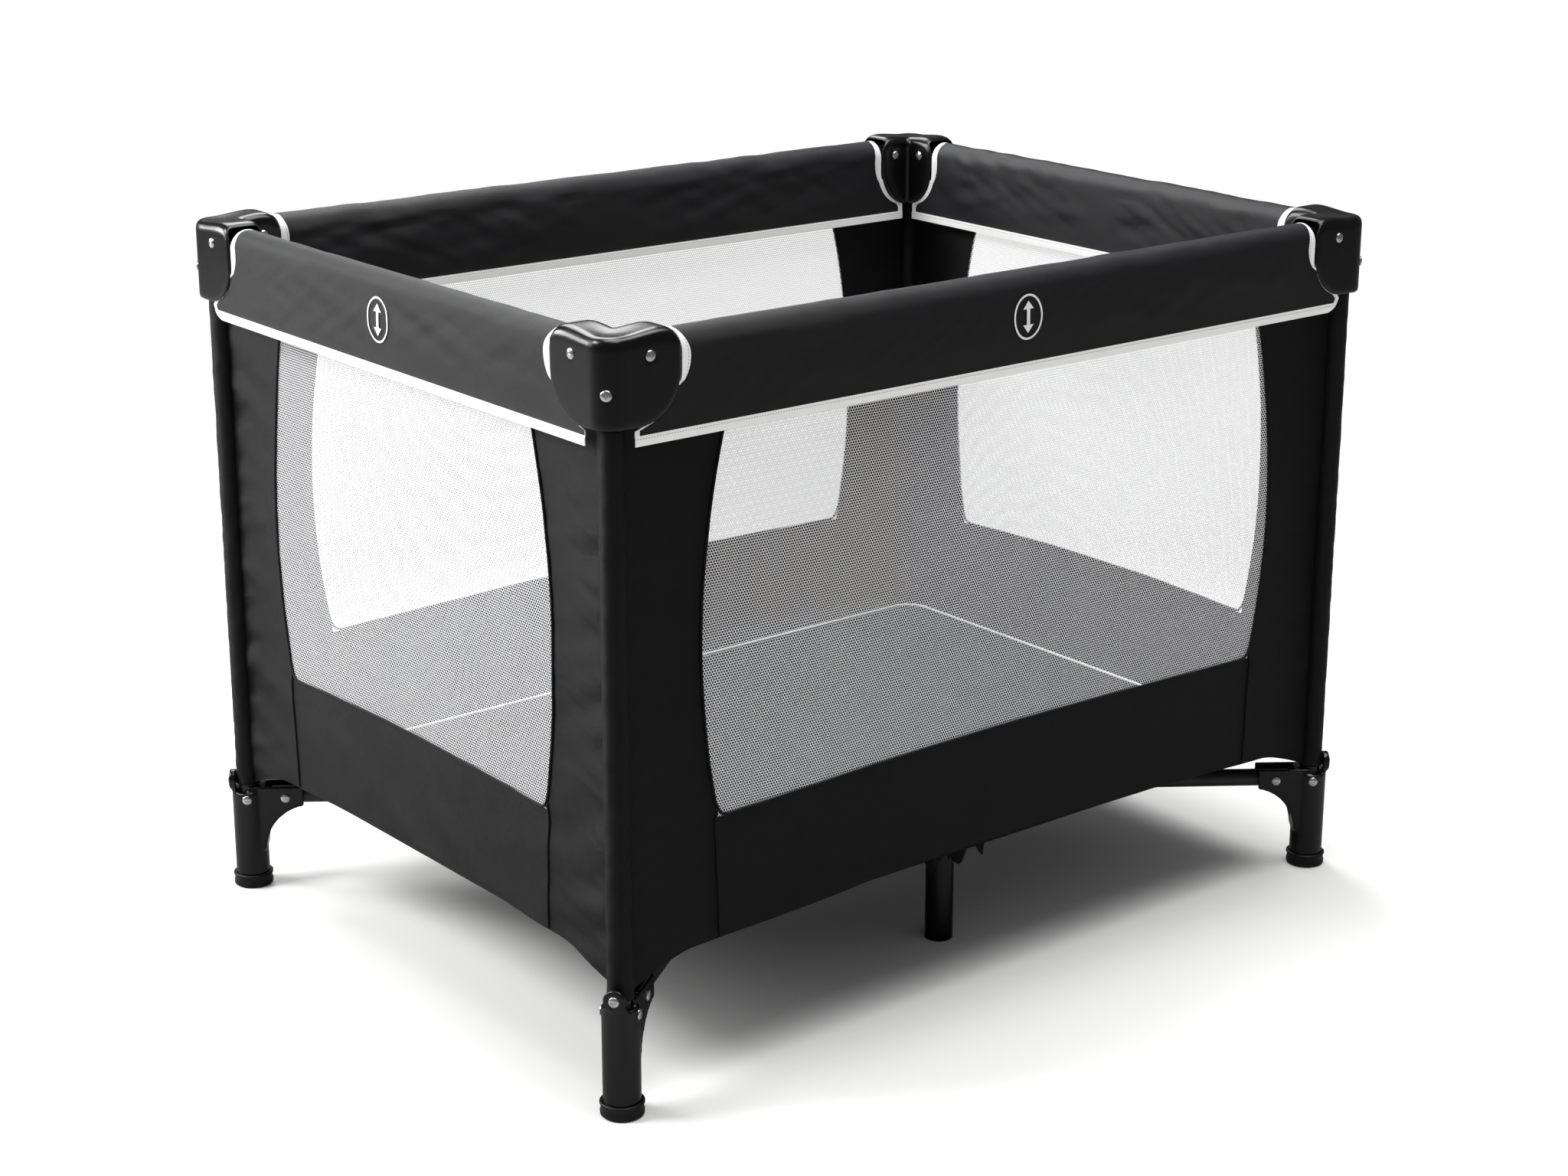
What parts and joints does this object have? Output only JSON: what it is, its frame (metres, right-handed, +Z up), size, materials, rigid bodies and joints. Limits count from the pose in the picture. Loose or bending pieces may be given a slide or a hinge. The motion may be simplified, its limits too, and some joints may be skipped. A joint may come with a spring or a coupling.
{
  "type": "playpen",
  "caption": "Rectangular folding playpen with a tube frame, moulded corner brackets and feet, cloth rails, mesh-windowed cloth walls and a padded floor mattress.",
  "frame": {"origin": "on the floor, under the middle of the open pen", "axes": "+X along the long sides, +Y along the short sides away from the front, +Z up"},
  "size_m": [1.044, 0.7778, 0.779],
  "materials": {
    "black_plastic": "satin black moulded nylon",
    "black_rubber": "matte black soft plastic",
    "tube": "dark powder coated steel tube",
    "screw": "bright zinc plated steel",
    "wall_cloth": "black woven polyester with white knit mesh windows",
    "rail_cloth": "black woven polyester with white satin binding",
    "floor_cloth": "black coated polyester",
    "mattress_cloth": "black padded cloth with white edge piping"
  },
  "bodies": {
    "post_nl": {"corner_bracket_nl": "black_plastic", "bracket_screws_nl": "screw", "leg_tube_nl": "tube", "foot_nl": "black_plastic", "foot_screws_nl": "screw", "foot_cap_nl": "black_rubber", "cloth_wall_nl": "wall_cloth"},
    "base_nl": {"base_tube_nl": "tube"},
    "post_nr": {"corner_bracket_nr": "black_plastic", "bracket_screws_nr": "screw", "leg_tube_nr": "tube", "foot_nr": "black_plastic", "foot_screws_nr": "screw", "foot_cap_nr": "black_rubber", "cloth_wall_nr": "wall_cloth"},
    "base_nr": {"base_tube_nr": "tube"},
    "post_fr": {"corner_bracket_fr": "black_plastic", "bracket_screws_fr": "screw", "leg_tube_fr": "tube", "foot_fr": "black_plastic", "foot_screws_fr": "screw", "foot_cap_fr": "black_rubber", "cloth_wall_fr": "wall_cloth"},
    "base_fr": {"base_tube_fr": "tube"},
    "post_fl": {"corner_bracket_fl": "black_plastic", "bracket_screws_fl": "screw", "leg_tube_fl": "tube", "foot_fl": "black_plastic", "foot_screws_fl": "screw", "foot_cap_fl": "black_rubber", "cloth_wall_fl": "wall_cloth"},
    "base_fl": {"base_tube_fl": "tube"},
    "hub": {"hub": "black_plastic", "hub_pins": "screw", "floor_cloth": "floor_cloth"},
    "arm_front": {"mid_arm_front": "tube", "mid_leg_front": "black_plastic"},
    "arm_back": {"mid_arm_back": "tube", "mid_leg_back": "black_plastic"},
    "rail_front_a": {"rail_tube_front_a": "tube"},
    "rail_front_b": {"rail_tube_front_b": "tube"},
    "latch_front": {"latch_housing_front": "black_plastic", "rail_sleeve_front": "rail_cloth"},
    "button_front": {"latch_button_front": "black_plastic"},
    "rail_right_a": {"rail_tube_right_a": "tube"},
    "rail_right_b": {"rail_tube_right_b": "tube"},
    "latch_right": {"latch_housing_right": "black_plastic", "rail_sleeve_right": "rail_cloth"},
    "button_right": {"latch_button_right": "black_plastic"},
    "rail_back_a": {"rail_tube_back_a": "tube"},
    "rail_back_b": {"rail_tube_back_b": "tube"},
    "latch_back": {"latch_housing_back": "black_plastic", "rail_sleeve_back": "rail_cloth"},
    "button_back": {"latch_button_back": "black_plastic"},
    "rail_left_a": {"rail_tube_left_a": "tube"},
    "rail_left_b": {"rail_tube_left_b": "tube"},
    "latch_left": {"latch_housing_left": "black_plastic", "rail_sleeve_left": "rail_cloth"},
    "button_left": {"latch_button_left": "black_plastic"},
    "mattress": {"mattress": "mattress_cloth"}
  },
  "joints": [
    {"name": "base_fold", "type": "hinge", "parent": "post_nl", "child": "base_nl", "pos_m": [-0.46321, -0.33929, 0.1075], "axis": [0.5909, -0.8067, 0], "range_deg": [0, 82], "deforming": ["cloth_wall_nl", "cloth_wall_nr", "cloth_wall_fr", "cloth_wall_fl", "rail_sleeve_front", "rail_sleeve_right", "rail_sleeve_back", "rail_sleeve_left", "floor_cloth", "mattress"]},
    {"name": "hub_level", "type": "hinge", "parent": "base_nl", "child": "hub", "pos_m": [-0.0363, -0.02659, 0.1075], "axis": [0.5909, -0.8067, 0], "range_deg": [-82, 0]},
    {"name": "base_fold_nr", "type": "hinge", "parent": "hub", "child": "base_nr", "pos_m": [0.0363, -0.02659, 0.1075], "axis": [0.5909, 0.8067, 0], "range_deg": [0, 82]},
    {"name": "post_level_nr", "type": "hinge", "parent": "base_nr", "child": "post_nr", "pos_m": [0.46321, -0.33929, 0.1075], "axis": [0.5909, 0.8067, 0], "range_deg": [-82, 0]},
    {"name": "base_fold_fr", "type": "hinge", "parent": "hub", "child": "base_fr", "pos_m": [0.0363, 0.02659, 0.1075], "axis": [-0.5909, 0.8067, 0], "range_deg": [0, 82]},
    {"name": "post_level_fr", "type": "hinge", "parent": "base_fr", "child": "post_fr", "pos_m": [0.46321, 0.33929, 0.1075], "axis": [-0.5909, 0.8067, 0], "range_deg": [-82, 0]},
    {"name": "base_fold_fl", "type": "hinge", "parent": "hub", "child": "base_fl", "pos_m": [-0.0363, 0.02659, 0.1075], "axis": [-0.5909, -0.8067, 0], "range_deg": [0, 82]},
    {"name": "post_level_fl", "type": "hinge", "parent": "base_fl", "child": "post_fl", "pos_m": [-0.46321, 0.33929, 0.1075], "axis": [-0.5909, -0.8067, 0], "range_deg": [-82, 0]},
    {"name": "arm_fold_front", "type": "hinge", "parent": "hub", "child": "arm_front", "pos_m": [0.017, -0.058, 0.1075], "axis": [1, 0, 0], "range_deg": [0, 82]},
    {"name": "arm_fold_back", "type": "hinge", "parent": "hub", "child": "arm_back", "pos_m": [-0.017, 0.058, 0.1075], "axis": [-1, 0, 0], "range_deg": [0, 82]},
    {"name": "rail_fold_front_a", "type": "hinge", "parent": "post_nl", "child": "rail_front_a", "pos_m": [-0.4685, -0.3644, 0.755], "axis": [0, 1, 0], "range_deg": [0, 80.47]},
    {"name": "rail_fold_front_b", "type": "hinge", "parent": "post_nr", "child": "rail_front_b", "pos_m": [0.4685, -0.3644, 0.755], "axis": [0, -1, 0], "range_deg": [0, 80.47]},
    {"name": "latch_level_front", "type": "hinge", "parent": "rail_front_a", "child": "latch_front", "pos_m": [-0.028, -0.3644, 0.755], "axis": [0, 1, 0], "range_deg": [-80.47, 0]},
    {"name": "button_press_front", "type": "slide", "parent": "latch_front", "child": "button_front", "axis": [0, 1, 0], "range_m": [0, 0.005], "stiffness_N_per_m": 1500, "springref_m": -0.004},
    {"name": "rail_fold_right_a", "type": "hinge", "parent": "post_nr", "child": "rail_right_a", "pos_m": [0.4975, -0.3354, 0.755], "axis": [-1, 0, 0], "range_deg": [0, 82.87]},
    {"name": "rail_fold_right_b", "type": "hinge", "parent": "post_fr", "child": "rail_right_b", "pos_m": [0.4975, 0.3354, 0.755], "axis": [1, 0, 0], "range_deg": [0, 82.87]},
    {"name": "latch_level_right", "type": "hinge", "parent": "rail_right_a", "child": "latch_right", "pos_m": [0.4975, -0.028, 0.755], "axis": [-1, 0, 0], "range_deg": [-82.87, 0]},
    {"name": "button_press_right", "type": "slide", "parent": "latch_right", "child": "button_right", "axis": [-1, 0, 0], "range_m": [0, 0.005], "stiffness_N_per_m": 1500, "springref_m": -0.004},
    {"name": "rail_fold_back_a", "type": "hinge", "parent": "post_fr", "child": "rail_back_a", "pos_m": [0.4685, 0.3644, 0.755], "axis": [0, -1, 0], "range_deg": [0, 80.47]},
    {"name": "rail_fold_back_b", "type": "hinge", "parent": "post_fl", "child": "rail_back_b", "pos_m": [-0.4685, 0.3644, 0.755], "axis": [0, 1, 0], "range_deg": [0, 80.47]},
    {"name": "latch_level_back", "type": "hinge", "parent": "rail_back_a", "child": "latch_back", "pos_m": [0.028, 0.3644, 0.755], "axis": [0, -1, 0], "range_deg": [-80.47, 0]},
    {"name": "button_press_back", "type": "slide", "parent": "latch_back", "child": "button_back", "axis": [0, -1, 0], "range_m": [0, 0.005], "stiffness_N_per_m": 1500, "springref_m": -0.004},
    {"name": "rail_fold_left_a", "type": "hinge", "parent": "post_fl", "child": "rail_left_a", "pos_m": [-0.4975, 0.3354, 0.755], "axis": [1, 0, 0], "range_deg": [0, 82.87]},
    {"name": "rail_fold_left_b", "type": "hinge", "parent": "post_nl", "child": "rail_left_b", "pos_m": [-0.4975, -0.3354, 0.755], "axis": [-1, 0, 0], "range_deg": [0, 82.87]},
    {"name": "latch_level_left", "type": "hinge", "parent": "rail_left_a", "child": "latch_left", "pos_m": [-0.4975, 0.028, 0.755], "axis": [1, 0, 0], "range_deg": [-82.87, 0]},
    {"name": "button_press_left", "type": "slide", "parent": "latch_left", "child": "button_left", "axis": [1, 0, 0], "range_m": [0, 0.005], "stiffness_N_per_m": 1500, "springref_m": -0.004},
    {"name": "mattress_lift", "type": "slide", "parent": "hub", "child": "mattress", "axis": [0, 0, 1], "range_m": [0, 0.75]}
  ],
  "couplings": [
    {"joint": "hub_level", "follows": "base_fold", "ratio": -1},
    {"joint": "base_fold_nr", "follows": "base_fold", "ratio": 1},
    {"joint": "post_level_nr", "follows": "base_fold", "ratio": -1},
    {"joint": "base_fold_fr", "follows": "base_fold", "ratio": 1},
    {"joint": "post_level_fr", "follows": "base_fold", "ratio": -1},
    {"joint": "base_fold_fl", "follows": "base_fold", "ratio": 1},
    {"joint": "post_level_fl", "follows": "base_fold", "ratio": -1},
    {"joint": "arm_fold_front", "follows": "base_fold", "ratio": 1},
    {"joint": "arm_fold_back", "follows": "base_fold", "ratio": 1},
    {"joint": "rail_fold_front_a", "follows": "base_fold", "ratio": 0.98122},
    {"joint": "rail_fold_front_b", "follows": "base_fold", "ratio": 0.98122},
    {"joint": "latch_level_front", "follows": "base_fold", "ratio": -0.98122},
    {"joint": "rail_fold_right_a", "follows": "base_fold", "ratio": 1.0105},
    {"joint": "rail_fold_right_b", "follows": "base_fold", "ratio": 1.0105},
    {"joint": "latch_level_right", "follows": "base_fold", "ratio": -1.0105},
    {"joint": "rail_fold_back_a", "follows": "base_fold", "ratio": 0.98122},
    {"joint": "rail_fold_back_b", "follows": "base_fold", "ratio": 0.98122},
    {"joint": "latch_level_back", "follows": "base_fold", "ratio": -0.98122},
    {"joint": "rail_fold_left_a", "follows": "base_fold", "ratio": 1.0105},
    {"joint": "rail_fold_left_b", "follows": "base_fold", "ratio": 1.0105},
    {"joint": "latch_level_left", "follows": "base_fold", "ratio": -1.0105}
  ]
}
